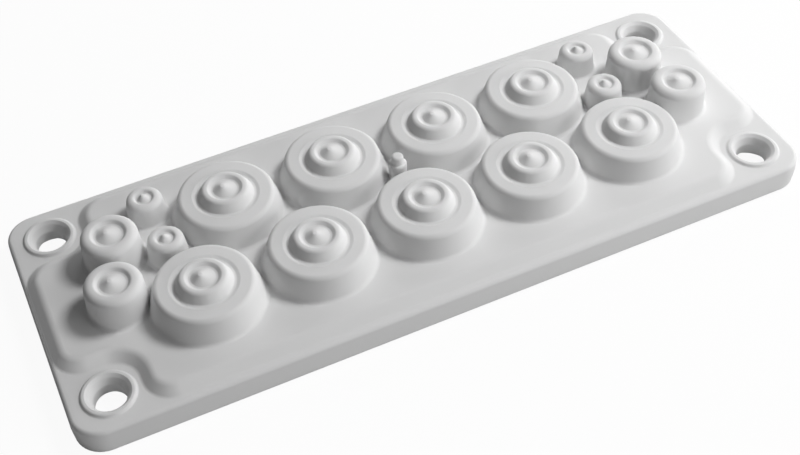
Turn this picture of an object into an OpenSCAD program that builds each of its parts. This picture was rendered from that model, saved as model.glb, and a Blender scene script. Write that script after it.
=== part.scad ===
// Cable entry plate: one elastomer moulding, a slab with a raised field of closed cable membranes.
// The origin is at the centre of the flat underside, +X runs along the plate and +Z points up.

/* [Large drums] */
// Drums in the longer row, the other row has one less
long_row = 5; // [3:1:7]
// Diameter at the foot
large_d = 20.8; // [18:0.1:24]
// Diameter below the rounded shoulder
large_top_d = 19.6; // [17:0.1:23.5]
// Gap between neighbours at the foot
drum_gap = 0.8; // [0.5:0.1:3]
// Height of the ring round the nipple above the plateau
large_h = 5.5; // [4:0.1:8]
// Radius of the shoulder
large_round = 1.1; // [0.6:0.1:2]

/* [Nipples] */
// Diameter at the foot
nipple_d = 10.8; // [9:0.1:13]
// Diameter at the rim
nipple_top_d = 8.4; // [7.6:0.1:9]
// Height above the ring
nipple_h = 2; // [1.2:0.1:3.5]
// Radius of the rim
nipple_round = 0.5; // [0.2:0.05:0.6]
// Depth of the groove round the foot
groove_depth = 0.25; // [0.1:0.05:0.6]
// Radius of the groove
groove_r = 0.5; // [0.3:0.05:1]

/* [Medium drums] */
// Diameter at the foot
medium_d = 11.2; // [10:0.1:13]
// Diameter below the rounded shoulder
medium_top_d = 10.7; // [9:0.1:12.5]
// Height above the plateau
medium_h = 7.1; // [5:0.1:9]
// Radius of the shoulder
medium_round = 1; // [0.6:0.1:1.4]

/* [Small drums] */
// Diameter at the foot
small_d = 7.9; // [7:0.1:9]
// Diameter below the rounded shoulder
small_top_d = 7; // [6.4:0.1:8]
// Height above the plateau
small_h = 5; // [4:0.1:8]
// Radius of the shoulder
small_round = 1; // [0.4:0.1:1.2]

/* [Craters] */
// Diameter at the rim, in the nipples and the medium drums
crater_d = 6.7; // [5:0.1:7]
// Diameter at the rim, in the small drums
small_crater_d = 3.8; // [3.6:0.1:4.4]
// Depth from the rim to the lowest ring of the floor
crater_depth = 0.8; // [0.5:0.1:1.2]
// How far the wall draws in from the rim to the floor
crater_draft = 0.6; // [0.2:0.1:0.7]
// Rise of the floor from its lowest ring to the foot of the pip
dome_h = 0.3; // [0.1:0.1:0.5]
// Diameter of the pip at its foot
pip_d = 2.2; // [1.4:0.1:2.2]
// Diameter of the pip at its tip
pip_tip_d = 0.6; // [0.3:0.1:1]
// Height of the pip
pip_h = 0.8; // [0.3:0.1:1]

/* [Membranes] */
// Wall thickness of the drums
wall = 1; // [0.8:0.1:1.2]
// Thickness of the tops, where cables are pushed through
skin = 0.9; // [0.6:0.1:1.2]

/* [Plate] */
// Thickness at the screw pads
slab_h = 5.2; // [4:0.1:8]
// Height of the plateau above the screw pads
plateau_rise = 1.3; // [1:0.1:1.6]
// Width of the slope round the plateau
slope_run = 2.7; // [2.4:0.1:3.2]
// Flat ledge between the slope and the rounded edge
ledge = 0.1; // [0.1:0.1:1]
// Corner radius
corner_r = 5.5; // [3:0.5:7]
// Radius of the upper edge
edge_round = 0.5; // [0.2:0.1:1]
// How far the side wall draws in above and below its parting line
side_draft = 0.15; // [0.05:0.05:0.3]

/* [Screw holes] */
// Distance along the plate from the last drum of the longer row to the screw line
screw_end = 21.8; // [20:0.1:30]
// Distance across the plate from the drum row to the screw line
screw_side = 10.65; // [10:0.05:16]
// Distance along the plate from the screw line to the edge
edge_x = 8; // [7:0.1:12]
// Distance across the plate from the screw line to the edge
edge_y = 7.5; // [7:0.1:12]
// Bore for the screw
bore_d = 5.8; // [4:0.1:6.4]
// Countersink diameter at the pad
sink_d = 7.8; // [6.8:0.1:8.4]
// Countersink depth below the pad
sink_depth = 1.4; // [0.8:0.1:2.5]
// Outer diameter of the collar round the countersink
collar_d = 9.8; // [9.2:0.1:10.6]
// Height of the collar above the pad
collar_h = 0.35; // [0.1:0.05:0.6]
// Half width of the level pad round the screw
pad_half = 5.7; // [5.4:0.1:7]
// Inner corner radius of the pad
pad_round = 3.7; // [2:0.1:5]
// Radius of the plateau's corners beside the pad
flare_round = 4.2; // [3.8:0.1:6]

/* [End groups] */
// Angle of the outer small drum off the shorter row
small_out_turn = 24.5; // [20:0.5:30]
// Gap between the outer small drum and the last drum of the shorter row
small_out_gap = 1.2; // [0.5:0.1:2.5]
// Angle of the inner small drum off the shorter row
small_in_turn = -20.5; // [-22:0.5:-16]
// Gap between the inner small drum and the last drum of the shorter row
small_in_gap = 0.25; // [0.05:0.05:1]
// Angle of the near medium drum off the longer row
medium_near_turn = 21.5; // [18:0.5:26]
// Gap between the near medium drum and the last drum of the longer row
medium_near_gap = -0.2; // [-0.6:0.1:1]
// Angle of the far medium drum off the longer row
medium_far_turn = 55; // [50:0.5:60]
// Gap between the far medium drum and the last drum of the longer row
medium_far_gap = 5.1; // [4.5:0.1:8]

/* [Gate nub] */
// Diameter of the post
nub_d = 3.2; // [2:0.1:3.6]
// Height of the post
nub_h = 4; // [2:0.1:5]
// Diameter of the tip
nub_tip_d = 1.9; // [1:0.1:2]
// Height of the tip
nub_tip_h = 2.2; // [1:0.1:3]

/* [Hidden] */
$fn = 96;
micron = 0.001;

// Centres of the drums and of the screws
pitch = large_d + drum_gap;
row_y = round(pitch * sin(60) / 2 / micron) * micron;
long_end = (long_row - 1) / 2 * pitch;
short_end = long_end - pitch / 2;
small_reach = (large_d + small_d) / 2;
medium_reach = (large_d + medium_d) / 2;
screw_x = long_end + screw_end;
screw_y = row_y + screw_side;
plate_x = screw_x + edge_x;
plate_y = screw_y + edge_y;

// Heights
plateau_z = slab_h + plateau_rise;
root = plateau_rise + 1;
past = 1;

// Slope of the plateau: a rounded rim and a hollow foot that cross half way up, each a little off level at its end
rim_tip = 7;
rim_r = slope_arc_r(rim_tip);
foot_tip = 10;
foot_r = slope_arc_r(foot_tip);
lap = 0.4;
tuck = 0.03;
foot_lap = 0.02;

// Radius of the arc that leaves the level at an angle and reaches the middle of the slope
function slope_arc_r(tip) = slope_run / 2 / (sin(2 * atan(plateau_rise / slope_run) - tip) - sin(tip));

// Plan of the plateau in one quarter of the plate
foot_x = plate_x - side_draft - edge_round - ledge;
foot_y = plate_y - side_draft - edge_round - ledge;
pad_x = screw_x - pad_half;
pad_y = screw_y - pad_half;
flare_top = flare_round - slope_run;
pad_top = pad_round + slope_run;

// Copies of the children in all four quarters of the plate
module quarters() {
    for (sx = [0, 1], sy = [0, 1])
        mirror([sx, 0, 0]) mirror([0, sy, 0]) children();
}

// Section drawn outwards in X and upwards in Y, swept along X and facing +Y
module along_x(from, to) {
    translate([from, 0, 0]) rotate([90, 0, 90]) linear_extrude(to - from) children();
}

// Section drawn outwards in X and upwards in Y, swept along Y and facing +X
module along_y(from, to) {
    translate([0, to, 0]) rotate([90, 0, 0]) linear_extrude(to - from) children();
}

// Section of the side wall, from the corner's centre outwards
module wall_section() {
    side = corner_r - side_draft;
    polygon([
        [0, 0], [side, 0], [corner_r, slab_h / 2], [side, slab_h - edge_round], [0, slab_h - edge_round]
    ]);
    square([side - edge_round, slab_h]);
    translate([side - edge_round, slab_h - edge_round]) circle(edge_round);
}

// Section of the slope, from the plateau's rim outwards to its foot
module slope_section() {
    half = slope_run / 2;
    intersection() {
        translate([-lap, -past]) square([slope_run, plateau_rise + past]);
        translate([-rim_r * sin(rim_tip), plateau_rise - rim_r * cos(rim_tip)]) circle(rim_r);
    }
    difference() {
        translate([half - tuck, -past]) square([half + tuck + foot_lap, plateau_rise / 2 + past]);
        translate([slope_run + foot_r * sin(foot_tip), foot_r * cos(foot_tip)]) circle(foot_r);
    }
}

// Slab with drafted walls and a rounded upper edge
module slab() {
    in_x = plate_x - corner_r;
    in_y = plate_y - corner_r;
    translate([-in_x, -in_y, 0]) cube([2 * in_x, 2 * in_y, slab_h]);
    for (s = [0, 1]) {
        mirror([0, s, 0]) translate([0, in_y, 0]) along_x(-in_x, in_x) wall_section();
        mirror([s, 0, 0]) translate([in_x, 0, 0]) along_y(-in_y, in_y) wall_section();
    }
    quarters() translate([in_x, in_y, 0]) rotate_extrude(angle = 90) wall_section();
}

// Top outline of the plateau
module plateau_plan() {
    square([2 * (pad_x - flare_round), 2 * (foot_y - slope_run)], center = true);
    square([2 * (foot_x - slope_run), 2 * (pad_y - flare_round)], center = true);
    square([2 * (pad_x - slope_run), 2 * (foot_y - flare_round)], center = true);
    square([2 * (foot_x - flare_round), 2 * (pad_y - slope_run)], center = true);
    quarters() {
        translate([pad_x - flare_round, foot_y - flare_round]) circle(flare_top);
        translate([foot_x - flare_round, pad_y - flare_round]) circle(flare_top);
        difference() {
            translate([pad_x - slope_run, pad_y - slope_run]) square(pad_top);
            translate([pad_x + pad_round, pad_y + pad_round]) circle(pad_top);
        }
    }
}

// Slopes round the plateau: straight runs, outer corners and the hollow corner of each pad
module plateau_slopes() {
    for (s = [0, 1]) {
        mirror([0, s, 0]) translate([0, foot_y - slope_run, 0])
            along_x(flare_round - pad_x, pad_x - flare_round) slope_section();
        mirror([s, 0, 0]) translate([foot_x - slope_run, 0, 0])
            along_y(flare_round - pad_y, pad_y - flare_round) slope_section();
    }
    quarters() {
        translate([pad_x - slope_run, 0, 0]) along_y(pad_y + pad_round, foot_y - flare_round) slope_section();
        translate([0, pad_y - slope_run, 0]) along_x(pad_x + pad_round, foot_x - flare_round) slope_section();
        for (c = [[pad_x, foot_y], [foot_x, pad_y]])
            translate([c.x - flare_round, c.y - flare_round, 0])
                rotate_extrude(angle = 90) translate([flare_top, 0]) slope_section();
        translate([pad_x + pad_round, pad_y + pad_round, 0])
            rotate([0, 0, 180]) rotate_extrude(angle = 90) translate([pad_top, 0]) mirror([1, 0]) slope_section();
    }
}

module plateau() {
    translate([0, 0, slab_h]) {
        translate([0, 0, -past]) linear_extrude(plateau_rise + past) plateau_plan();
        plateau_slopes();
    }
}

// Section of a plain drum: tapered wall, rounded shoulder and level top
module drum_section(foot_d, top_d, h, round) {
    edge = top_d / 2 - round;
    polygon([[0, -root], [foot_d / 2, -root], [foot_d / 2, 0], [top_d / 2, h - round], [0, h - round]]);
    square([edge, h]);
    translate([edge, h - round]) circle(round);
}

// Section of the crater below a rim at height h: drafted wall, domed floor and a pip in the middle
module crater_section(d, h) {
    floor_z = h - crater_depth;
    slant = crater_draft * past / crater_depth;
    polygon([
        [0, floor_z + dome_h + pip_h], [pip_tip_d / 2, floor_z + dome_h + pip_h],
        [pip_d / 2, floor_z + dome_h], [d / 2 - crater_draft, floor_z],
        [d / 2 + slant, h + past], [0, h + past]
    ]);
}

module large_section() {
    tip = nipple_top_d / 2 - nipple_round;
    rim = large_h + nipple_h;
    difference() {
        union() {
            difference() {
                drum_section(large_d, large_top_d, large_h, large_round);
                translate([nipple_d / 2 + groove_r / 2, large_h + groove_r - groove_depth]) circle(groove_r);
            }
            polygon([
                [0, 0], [nipple_d / 2, 0], [nipple_d / 2, large_h - groove_depth],
                [nipple_top_d / 2, rim - nipple_round], [0, rim - nipple_round]
            ]);
            square([tip, rim]);
            translate([tip, rim - nipple_round]) circle(nipple_round);
        }
        crater_section(crater_d, rim);
    }
}

module medium_section() {
    difference() {
        drum_section(medium_d, medium_top_d, medium_h, medium_round);
        crater_section(crater_d, medium_h);
    }
}

module small_section() {
    difference() {
        drum_section(small_d, small_top_d, small_h, small_round);
        crater_section(small_crater_d, small_h);
    }
}

// Hollow below a large drum, open at the underside
module large_hollow() {
    nipple_r = nipple_top_d / 2 - wall;
    polygon([
        [0, -plateau_z - past], [large_d / 2 - wall, -plateau_z - past], [large_d / 2 - wall, 0],
        [large_top_d / 2 - wall, large_h - large_round], [large_top_d / 2 - large_round, large_h - wall],
        [nipple_r, large_h - wall], [nipple_r, large_h + nipple_h - crater_depth - skin],
        [0, large_h + nipple_h - crater_depth - skin]
    ]);
}

// Hollow below a medium or small drum, open at the underside
module plain_hollow(foot_d, top_d, h, round) {
    polygon([
        [0, -plateau_z - past], [foot_d / 2 - wall, -plateau_z - past], [foot_d / 2 - wall, 0],
        [top_d / 2 - wall, h - round - skin], [top_d / 2 - wall - crater_draft, h - crater_depth - skin],
        [0, h - crater_depth - skin]
    ]);
}

module at_large() {
    for (i = [0 : long_row - 1])
        translate([i * pitch - long_end, -row_y, plateau_z]) children();
    for (i = [0 : long_row - 2])
        translate([i * pitch - short_end, row_y, plateau_z]) children();
}

module at_medium() {
    for (s = [0, 1], c = [[medium_near_turn, medium_near_gap], [medium_far_turn, medium_far_gap]])
        mirror([s, 0, 0]) translate([long_end, -row_y, plateau_z])
            rotate([0, 0, c[0]]) translate([medium_reach + c[1], 0, 0]) children();
}

module at_small() {
    for (s = [0, 1], c = [[small_out_turn, small_out_gap], [small_in_turn, small_in_gap]])
        mirror([s, 0, 0]) translate([short_end, row_y, plateau_z])
            rotate([0, 0, c[0]]) translate([small_reach + c[1], 0, 0]) children();
}

module nub_section() {
    translate([0, -root]) square([nub_d / 2, nub_h + root]);
    square([nub_tip_d / 2, nub_h + nub_tip_h]);
}

// Rounded collar round each screw hole
module collar_section() {
    crest = (collar_d + sink_d) / 4;
    half = (collar_d - sink_d) / 4;
    round = (half * half + collar_h * collar_h) / (2 * collar_h);
    translate([0, -past]) square([collar_d / 2, past]);
    intersection() {
        translate([crest, collar_h - round]) circle(round);
        translate([crest - half, 0]) square([2 * half, collar_h]);
    }
}

// Section of the countersunk bore
module bore_section() {
    polygon([
        [0, -slab_h - past], [bore_d / 2, -slab_h - past], [bore_d / 2, -sink_depth],
        [sink_d / 2, 0], [sink_d / 2, collar_h + past], [0, collar_h + past]
    ]);
}

module at_screws() {
    quarters() translate([screw_x, screw_y, slab_h]) children();
}

module entry_plate() {
    color([0.82, 0.82, 0.82])
        difference() {
            union() {
                slab();
                plateau();
                at_screws() rotate_extrude() collar_section();
                at_large() rotate_extrude() large_section();
                at_medium() rotate_extrude() medium_section();
                at_small() rotate_extrude() small_section();
                translate([0, row_y / 3, plateau_z]) rotate_extrude() nub_section();
            }
            at_large() rotate_extrude() large_hollow();
            at_medium() rotate_extrude() plain_hollow(medium_d, medium_top_d, medium_h, medium_round);
            at_small() rotate_extrude() plain_hollow(small_d, small_top_d, small_h, small_round);
            at_screws() rotate_extrude() bore_section();
        }
}

entry_plate();
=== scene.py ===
"""Cable entry plate: the look of its light grey elastomer moulding, with stage, lamps and camera."""

import math

import bmesh
import bpy
from mathutils import Matrix, Vector


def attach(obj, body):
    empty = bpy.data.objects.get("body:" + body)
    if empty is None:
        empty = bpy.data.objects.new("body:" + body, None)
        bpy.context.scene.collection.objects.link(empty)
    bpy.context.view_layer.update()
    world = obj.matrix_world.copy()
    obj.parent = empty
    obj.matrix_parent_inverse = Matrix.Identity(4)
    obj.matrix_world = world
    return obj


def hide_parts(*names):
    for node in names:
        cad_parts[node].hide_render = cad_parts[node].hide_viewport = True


MM = 0.001

# Camera found from the photo: place in metres, axes, and focal length and principal point in pixels
PICTURE_W = 800
PICTURE_H = 455
SENSOR_MM = 36.0
CAMERA_PLACE = Vector((-0.06794, -0.15291, 0.17571))
CAMERA_AIM = Vector((0.24169, 0.63762, -0.73146))
CAMERA_RIGHT = Vector((0.91183, -0.40707, -0.05356))
FOCAL_PX = 1246.2
CENTRE_X = 359.3
CENTRE_Y = 228.0
CLIP_NEAR = 0.01
CLIP_FAR = 10.0

# Large drums, in millimetres like the whole plate: the short row lies in the gaps of the long one
PITCH = 21.6
LONG_ROW = 5
SHORT_ROW = LONG_ROW - 1
LONG_END = (LONG_ROW - 1) / 2 * PITCH
SHORT_END = (SHORT_ROW - 1) / 2 * PITCH
ROW_Y = round(PITCH * math.sqrt(3) / 4, 3)
NUB_Y = ROW_Y / 3

# Drums at each end: distance and turn in degrees from the last large drum of the long or the short row
MEDIUM_AT = ((15.8, 21.5), (21.1, 55.0))
SMALL_AT = ((15.55, 24.5), (14.6, -20.5))

# Plate: spacing of the screws, their distance outside the rows, the edges beyond them, and heights
SCREW_SPACING = 130.0
SCREW_SIDE = 10.65
EDGE_X = 7.7
EDGE_Y = 7.5
SCREW_X = SCREW_SPACING / 2
SCREW_Y = ROW_Y + SCREW_SIDE
PLATE_X = SCREW_X + EDGE_X
PLATE_Y = SCREW_Y + EDGE_Y
SLAB_H = 5.2
PLATEAU_H = 6.8
CORNER_R = 5.5
EDGE_ROUND = 0.8
SIDE_DRAFT = 0.15

# Plan of the plateau: level pad round each screw, roundings beside it and distances from the plate's edges
PAD_HALF = 5.3
PAD_ROUND = 4.0
FLARE_ROUND = 6.2
END_INSET = 0.1
SIDE_INSET = 0.95
END_STOP = 0.7

# Slope round the plateau: where its rim and its foot lie across its width, and their roundings
SLOPE_RUN = 3.4
RIM_AT = 0.8
FOOT_AT = 2.8
RIM_ROUND = 2.0
FOOT_ROUND = 1.0

# Overlap of shapes that are joined or cut, and how far a foot lies below the surface that it stands on
PAST = 1.0
SUNK = 0.01

# Level from which the drums are measured, and the plateau above it
DRUM_Z = 6.5
FOOT_Z = PLATEAU_H - DRUM_Z

# Drums as corners from the outside in: radius, height above the drum level and rounding
LARGE = (
    (12.0, FOOT_Z, 0.0),  # apron below the plateau
    (10.5, FOOT_Z, 0.9),  # foot
    (9.0, 5.25, 1.1),  # shoulder
    (6.35, 5.25, 0.6),  # groove round the nipple
    (5.75, 4.95, 0.35),
    (5.25, 4.95, 0.35),
    (4.2, 6.9, 0.8),  # crest of the nipple
    (3.3, 6.9, 0.4),
    (2.65, 6.4, 0.3),  # floor of the crater
    (2.25, 6.4, 0.3),  # pip
    (0.4, 7.5, 0.5),
    (0.0, 7.5, 0.0),
)
MEDIUM = (
    (7.0, FOOT_Z, 0.0),  # apron below the plateau
    (5.63, FOOT_Z, 0.8),  # foot
    (5.25, 7.0, 1.4),  # crest
    (3.3, 7.0, 0.5),
    (2.75, 6.4, 0.25),  # floor of the crater
    (2.35, 6.4, 0.3),  # pip
    (0.4, 7.45, 0.5),
    (0.0, 7.45, 0.0),
)
SMALL = (
    (5.0, FOOT_Z, 0.0),  # apron below the plateau
    (3.9, FOOT_Z, 0.6),  # foot
    (3.3, 5.0, 1.2),  # crest
    (1.9, 5.0, 0.5),
    (1.5, 4.5, 0.2),  # floor of the crater
    (1.1, 4.6, 0.2),  # pip
    (0.25, 5.6, 0.4),
    (0.0, 5.6, 0.0),
)

# Corner at which a drum's pip starts, and the pip's lean to the left as a share of its radius there
PIP_FOOT = -3
PIP_LEAN = 0.22

# Hollows and the gate nub: corners as above
LARGE_HOLLOW = ((9.55, 0.0, 0.0), (8.3, 4.25, 0.3), (4.25, 4.25, 0.0), (3.2, 5.4, 0.3), (0.0, 5.4, 0.0))
MEDIUM_HOLLOW = ((4.6, 0.0, 0.0), (4.3, 4.8, 0.3), (3.7, 5.5, 0.3), (0.0, 5.5, 0.0))
SMALL_HOLLOW = ((2.95, 0.0, 0.0), (2.5, 2.9, 0.3), (2.0, 3.5, 0.3), (0.0, 3.5, 0.0))
NUB = ((1.75, 0.0, 0.0), (1.75, 4.4, 0.45), (1.2, 4.4, 0.1), (1.1, 6.1, 0.45), (0.0, 6.1, 0.0))

# Screw holes: corners with heights from the underside
COLLAR_RISE = 0.5
COLLAR_Z = SLAB_H + COLLAR_RISE
BORE_TOP = 8.0
COLLAR = (
    (6.0, SLAB_H - SUNK, 0.0),  # apron below the pad
    (5.0, SLAB_H - SUNK, 0.5),  # foot
    (4.65, COLLAR_Z, 0.45),  # crest
    (0.0, COLLAR_Z, 0.0),
)
BORE = (
    (5.6, -PAST, 0.0),  # widening below
    (2.9, 1.9, 0.0),  # bore
    (2.9, 3.9, 0.6),
    (3.5, 5.2, 0.6),  # countersink
    (4.2, 5.8, 0.0),
    (4.2, BORE_TOP, 0.0),
    (0.0, BORE_TOP, 0.0),
)

# Fineness of the mesh
ROUND_STEPS = 5
TURN_STEPS = 72
CORNER_STEPS = 10
SHARP_ANGLE = math.radians(40)
WELD = 0.002

# Elastomer: grey and its spread, noise scales per metre, grain and gloss
GREY = 0.60
GREY_SPREAD = 0.012
CLOUD_SCALE = 60.0
GRAIN_SCALE = 2200.0
NOISE_DETAIL = 2.0
NOISE_LOW = 0.3
NOISE_HIGH = 0.7
GRAIN_BUMP = 0.02
GRAIN_DEPTH = 0.0002
ROUGH_LOW = 0.5
ROUGH_HIGH = 0.6
SPECULAR = 0.2

# Stage: half width of the floor in metres, its greys, the share of its shadow, and the room's light
WHITE = (1.0, 1.0, 1.0, 1.0)
FLOOR_HALF = 1.5
FLOOR_BOUNCE = (0.7, 0.7, 0.7, 1.0)
FLOOR_WHITE = (0.95, 0.95, 0.95, 1.0)
FLOOR_SHADOW = 0.06
ROOM_LEVEL = 0.10

# Lamps: direction from the object, distance and size in metres, and power in watts
LAMPS = {
    "key": (Vector((0.559, 0.0, 0.829)), 0.46, 0.13, 1.17),
    "fill_front": (Vector((0.62, -0.75, 0.21)), 0.60, 0.5, 1.85),
    "fill_back": (Vector((0.68, 0.68, 0.26)), 0.60, 0.5, 1.6),
}


def rounded(corners):
    """Points of an open outline whose inner corners are rounded by arcs."""
    points = []
    for i, (x, y, radius) in enumerate(corners):
        here = Vector((x, y))
        if radius == 0.0 or i in (0, len(corners) - 1):
            points.append(here)
            continue
        back = (Vector(corners[i - 1][:2]) - here).normalized()
        on = (Vector(corners[i + 1][:2]) - here).normalized()
        half = back.angle(on) / 2
        middle = here + (back + on).normalized() * (radius / math.sin(half))
        start = here + back * (radius / math.tan(half)) - middle
        turn = start.angle_signed(here + on * (radius / math.tan(half)) - middle)
        for step in range(ROUND_STEPS + 1):
            a = -turn * step / ROUND_STEPS
            points.append(middle + Matrix.Rotation(a, 2) @ start)
    return points


def loft(name, loops, pole=None):
    """Closed mesh object through loops of equal length, with flat ends or a point at the last end."""
    count = len(loops[0])
    verts = [Vector(p) * MM for loop in loops for p in loop]
    faces = []
    for row in range(len(loops) - 1):
        for i in range(count):
            j = (i + 1) % count
            faces.append((row * count + i, row * count + j, (row + 1) * count + j, (row + 1) * count + i))
    faces.append(tuple(reversed(range(count))))
    last = [(len(loops) - 1) * count + i for i in range(count)]
    if pole is None:
        faces.append(tuple(last))
    else:
        verts.append(Vector(pole) * MM)
        faces += [(last[i], last[(i + 1) % count], len(verts) - 1) for i in range(count)]
    mesh = bpy.data.meshes.new(name)
    mesh.from_pydata(verts, [], faces)
    return bpy.data.objects.new(name, mesh)


def lathe(name, corners, place, base, low, lean=0.0):
    """Closed solid of revolution from a section that ends on the axis, run down to a lower level.

    With a lean, a drum's pip leans to the left.
    """
    x, y = place
    foot = corners[PIP_FOOT][0]
    section = rounded(corners)
    turns = [2 * math.pi * i / TURN_STEPS for i in range(TURN_STEPS)]
    loops = []
    for r, z in [Vector((section[0].x, low))] + section[:-1]:
        middle = x - lean * max(0.0, foot - r)
        loops.append([(middle + r * math.cos(a), y + r * math.sin(a), base + z) for a in turns])
    return loft(name, loops, (x - lean * foot, y, base + section[-1].y))


def arc(cx, cy, start, end):
    """Pairs of the centre and a direction away from it, for the steps between two angles in degrees."""
    angles = [math.radians(start + (end - start) * i / CORNER_STEPS) for i in range(CORNER_STEPS + 1)]
    return [(Vector((cx, cy)), Vector((math.cos(a), math.sin(a)))) for a in angles]


def all_round(quarter):
    """Places and outward directions of one quarter, mirrored into all four in running order."""
    run = []
    for sx, sy, order in ((1, 1, 1), (-1, 1, -1), (-1, -1, 1), (1, -1, -1)):
        for place, way in quarter[::order]:
            run.append((Vector((place.x * sx, place.y * sy)), Vector((way.x * sx, way.y * sy))))
    return run


def level(outline, reach, z):
    """Loop of an outline at a height, moved along its outward directions."""
    return [(p.x + d.x * reach, p.y + d.y * reach, z) for p, d in outline]


def make_slab():
    """Slab with drafted walls, a parting line and a rounded upper edge."""
    outline = all_round(arc(PLATE_X - CORNER_R, PLATE_Y - CORNER_R, 0, 90))
    side = CORNER_R - SIDE_DRAFT
    wall = rounded((
        (side, 0.0, 0.0),
        (CORNER_R, SLAB_H / 2, 0.0),
        (side, SLAB_H, EDGE_ROUND),
        (side - 2 * EDGE_ROUND, SLAB_H, 0.0),
    ))
    return loft("slab", [level(outline, r, z) for r, z in wall])


def plateau_outline():
    """Upper rim of the plateau: rounded corners on both sides of each pad, and a hollow one round it."""
    out_x = PLATE_X - END_INSET
    out_y = PLATE_Y - SIDE_INSET
    pad_x = SCREW_X - PAD_HALF
    pad_y = SCREW_Y - PAD_HALF
    flare_top = FLARE_ROUND - SLOPE_RUN
    pad_top = PAD_ROUND + SLOPE_RUN
    end_flare = arc(out_x - FLARE_ROUND, pad_y - FLARE_ROUND, 0, 90)
    pad = arc(pad_x + PAD_ROUND, pad_y + PAD_ROUND, 270, 180)
    side_flare = arc(pad_x - FLARE_ROUND, out_y - FLARE_ROUND, 0, 90)
    quarter = [(p + d * flare_top, d) for p, d in end_flare]
    quarter += [(p + d * pad_top, -d) for p, d in pad]
    quarter += [(p + d * flare_top, d) for p, d in side_flare]
    return all_round(quarter)


def make_plateau():
    """Raised field with a soft slope all round, which stops short of the rounded edge at the ends."""
    outline = plateau_outline()
    slope = rounded((
        (0.0, PLATEAU_H, 0.0),
        (RIM_AT, PLATEAU_H, RIM_ROUND),
        (FOOT_AT, SLAB_H, FOOT_ROUND),
        (SLOPE_RUN, SLAB_H - SUNK, 0.0),
        (SLOPE_RUN, SLAB_H - PAST, 0.0),
    ))
    stop = PLATE_X - END_STOP
    loops = []
    for r, z in reversed(slope):
        loops.append([(max(-stop, min(stop, px)), py, pz) for px, py, pz in level(outline, r, z)])
    return loft("plateau", loops)


def large_places():
    """Centres of the large drums, row by row."""
    long_row = [(i * PITCH - LONG_END, -ROW_Y) for i in range(LONG_ROW)]
    short_row = [(i * PITCH - SHORT_END, ROW_Y) for i in range(SHORT_ROW)]
    return long_row + short_row


def end_places(x, y, steps):
    """Centres at given distances and turns from a place, and their mirror images at the left end."""
    places = []
    for reach, degrees in steps:
        a = math.radians(degrees)
        places.append((x + reach * math.cos(a), y + reach * math.sin(a)))
    return [(s * px, py) for s in (-1, 1) for px, py in places]


def make_shapes():
    """Solids to join, the slab first, and the shapes to cut from them."""
    kinds = (
        (large_places(), LARGE, LARGE_HOLLOW),
        (end_places(LONG_END, -ROW_Y, MEDIUM_AT), MEDIUM, MEDIUM_HOLLOW),
        (end_places(SHORT_END, ROW_Y, SMALL_AT), SMALL, SMALL_HOLLOW),
    )
    solids = [make_slab(), make_plateau()]
    cuts = []
    for places, section, hollow in kinds:
        for place in places:
            solids.append(lathe("drum", section, place, DRUM_Z - SUNK, -PAST, PIP_LEAN))
            cuts.append(lathe("hollow", hollow, place, DRUM_Z, -DRUM_Z - PAST))
    solids.append(lathe("nub", NUB, (0.0, NUB_Y), DRUM_Z, -PAST))
    for place in [(sx * SCREW_X, sy * SCREW_Y) for sx in (-1, 1) for sy in (-1, 1)]:
        solids.append(lathe("collar", COLLAR, place, 0.0, SLAB_H - PAST))
        cuts.append(lathe("bore", BORE, place, 0.0, -2 * PAST))
    return solids, cuts


def weld(mesh):
    """Merges points and edges that the joins leave almost on top of each other."""
    work = bmesh.new()
    work.from_mesh(mesh)
    bmesh.ops.remove_doubles(work, verts=work.verts, dist=WELD * MM)
    bmesh.ops.dissolve_degenerate(work, edges=work.edges, dist=WELD * MM)
    work.to_mesh(mesh)
    work.free()


def joined(solids, cuts):
    """One closed mesh of the joined solids less the cuts. The separate shapes are removed."""
    first = solids[0]
    for others, operation in ((solids[1:], "UNION"), (cuts, "DIFFERENCE")):
        for other in others:
            join = first.modifiers.new(other.name, "BOOLEAN")
            join.solver = "MANIFOLD"
            join.operation = operation
            join.object = other
    for piece in solids + cuts:
        bpy.context.scene.collection.objects.link(piece)
    graph = bpy.context.evaluated_depsgraph_get()
    mesh = bpy.data.meshes.new_from_object(first.evaluated_get(graph))
    for piece in solids + cuts:
        bpy.data.objects.remove(piece)
    weld(mesh)
    return mesh


def make_plate():
    """The whole moulding in place of the plain solid."""
    mesh = joined(*make_shapes())
    mesh.shade_smooth()
    mesh.set_sharp_from_angle(angle=SHARP_ANGLE)
    mesh.materials.append(elastomer())
    moulding = bpy.data.objects.new("moulding", mesh)
    bpy.context.scene.collection.objects.link(moulding)
    even = moulding.modifiers.new("even_normals", "WEIGHTED_NORMAL")
    even.keep_sharp = True
    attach(moulding, "root")
    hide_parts("entry_plate")


def new_material(name):
    """Empty node material and its node tree."""
    material = bpy.data.materials.new(name)
    material.use_nodes = True
    tree = material.node_tree
    tree.nodes.clear()
    return material, tree


def add(tree, kind, **inputs):
    """Shader node with some of its inputs set by name."""
    node = tree.nodes.new(kind)
    for name, value in inputs.items():
        node.inputs[name].default_value = value
    return node


def noise(tree, place, scale):
    """Noise in object coordinates."""
    node = add(tree, "ShaderNodeTexNoise", Scale=scale, Detail=NOISE_DETAIL)
    tree.links.new(place.outputs["Object"], node.inputs["Vector"])
    return node


def spread(tree, source, low, high):
    """Noise value stretched to a range."""
    node = tree.nodes.new("ShaderNodeMapRange")
    node.inputs["From Min"].default_value = NOISE_LOW
    node.inputs["From Max"].default_value = NOISE_HIGH
    node.inputs["To Min"].default_value = low
    node.inputs["To Max"].default_value = high
    tree.links.new(source.outputs[0], node.inputs["Value"])
    return node


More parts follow.
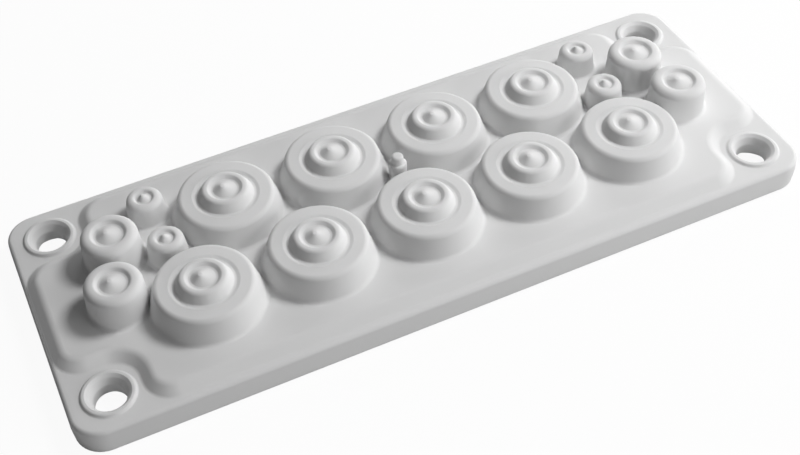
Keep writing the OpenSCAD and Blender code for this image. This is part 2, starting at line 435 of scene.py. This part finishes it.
def elastomer():
    """Light grey satin elastomer with a little cloudiness and a fine moulded grain."""
    material, tree = new_material("elastomer_grey")
    place = tree.nodes.new("ShaderNodeTexCoord")
    cloud = noise(tree, place, CLOUD_SCALE)
    grain = noise(tree, place, GRAIN_SCALE)
    tone = spread(tree, cloud, GREY - GREY_SPREAD, GREY + GREY_SPREAD)
    colour = tree.nodes.new("ShaderNodeCombineColor")
    for channel in ("Red", "Green", "Blue"):
        tree.links.new(tone.outputs[0], colour.inputs[channel])
    rough = spread(tree, grain, ROUGH_LOW, ROUGH_HIGH)
    bump = add(tree, "ShaderNodeBump", Strength=GRAIN_BUMP, Distance=GRAIN_DEPTH)
    tree.links.new(grain.outputs[0], bump.inputs["Height"])
    skin = tree.nodes.new("ShaderNodeBsdfPrincipled")
    tree.links.new(colour.outputs[0], skin.inputs["Base Color"])
    tree.links.new(rough.outputs[0], skin.inputs["Roughness"])
    tree.links.new(bump.outputs[0], skin.inputs["Normal"])
    skin.inputs["Specular IOR Level"].default_value = SPECULAR
    out = tree.nodes.new("ShaderNodeOutputMaterial")
    tree.links.new(skin.outputs[0], out.inputs["Surface"])
    return material


def for_camera(tree, seen, other):
    """Mix of two shaders: one that the camera sees, and one for all other rays."""
    path = tree.nodes.new("ShaderNodeLightPath")
    mix = tree.nodes.new("ShaderNodeMixShader")
    tree.links.new(path.outputs["Is Camera Ray"], mix.inputs[0])
    tree.links.new(other.outputs[0], mix.inputs[1])
    tree.links.new(seen.outputs[0], mix.inputs[2])
    return mix


def floor_material():
    """Pale floor that the camera sees as white with a faint shadow."""
    material, tree = new_material("floor_white")
    bounce = add(tree, "ShaderNodeBsdfDiffuse", Color=FLOOR_BOUNCE)
    pale = add(tree, "ShaderNodeBsdfDiffuse", Color=FLOOR_WHITE)
    white = add(tree, "ShaderNodeEmission", Color=WHITE, Strength=1.0)
    seen = tree.nodes.new("ShaderNodeMixShader")
    seen.inputs[0].default_value = 1.0 - FLOOR_SHADOW
    tree.links.new(pale.outputs[0], seen.inputs[1])
    tree.links.new(white.outputs[0], seen.inputs[2])
    out = tree.nodes.new("ShaderNodeOutputMaterial")
    tree.links.new(for_camera(tree, seen, bounce).outputs[0], out.inputs["Surface"])
    return material


def make_floor():
    """Level floor under the plate."""
    h = FLOOR_HALF
    mesh = bpy.data.meshes.new("floor")
    mesh.from_pydata([(-h, -h, 0.0), (h, -h, 0.0), (h, h, 0.0), (-h, h, 0.0)], [], [(0, 1, 2, 3)])
    floor = bpy.data.objects.new("floor", mesh)
    bpy.context.scene.collection.objects.link(floor)
    mesh.materials.append(floor_material())


def make_room():
    """White behind the object for the camera, dim soft light for everything else."""
    world = bpy.data.worlds.new("room")
    bpy.context.scene.world = world
    world.use_nodes = True
    tree = world.node_tree
    tree.nodes.clear()
    dim = add(tree, "ShaderNodeBackground", Color=WHITE, Strength=ROOM_LEVEL)
    white = add(tree, "ShaderNodeBackground", Color=WHITE, Strength=1.0)
    out = tree.nodes.new("ShaderNodeOutputWorld")
    tree.links.new(for_camera(tree, white, dim).outputs[0], out.inputs["Surface"])


def make_lamp(name, from_way, far, size, power):
    """Square lamp that faces the origin."""
    data = bpy.data.lights.new(name, "AREA")
    data.size = size
    data.energy = power
    lamp = bpy.data.objects.new(name, data)
    bpy.context.scene.collection.objects.link(lamp)
    lamp.location = from_way.normalized() * far
    lamp.rotation_euler = (-from_way).to_track_quat("-Z", "Y").to_euler()


def make_camera():
    """Camera at the photo's place and angle."""
    data = bpy.data.cameras.new("camera")
    camera = bpy.data.objects.new("camera", data)
    bpy.context.scene.collection.objects.link(camera)
    aim = CAMERA_AIM.normalized()
    right = (CAMERA_RIGHT - aim * CAMERA_RIGHT.dot(aim)).normalized()
    up = right.cross(aim)
    turn = Matrix((right, up, -aim)).transposed()
    camera.matrix_world = Matrix.Translation(CAMERA_PLACE) @ turn.to_4x4()
    data.sensor_width = SENSOR_MM
    data.lens = FOCAL_PX / PICTURE_W * SENSOR_MM
    data.shift_x = (PICTURE_W / 2 - CENTRE_X) / PICTURE_W
    data.shift_y = (CENTRE_Y - PICTURE_H / 2) / PICTURE_W
    data.clip_start = CLIP_NEAR
    data.clip_end = CLIP_FAR
    bpy.context.scene.camera = camera


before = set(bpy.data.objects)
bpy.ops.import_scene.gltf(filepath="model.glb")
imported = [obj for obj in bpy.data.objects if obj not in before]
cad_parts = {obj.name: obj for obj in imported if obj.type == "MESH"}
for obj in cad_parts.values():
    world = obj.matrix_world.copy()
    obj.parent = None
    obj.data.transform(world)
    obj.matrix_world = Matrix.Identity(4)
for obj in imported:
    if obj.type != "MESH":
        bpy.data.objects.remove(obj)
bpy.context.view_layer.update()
make_plate()
make_floor()
make_room()
for lamp_name, (way, far, size, power) in LAMPS.items():
    make_lamp(lamp_name, way, far, size, power)
make_camera()
bpy.context.scene.view_settings.view_transform = "Standard"
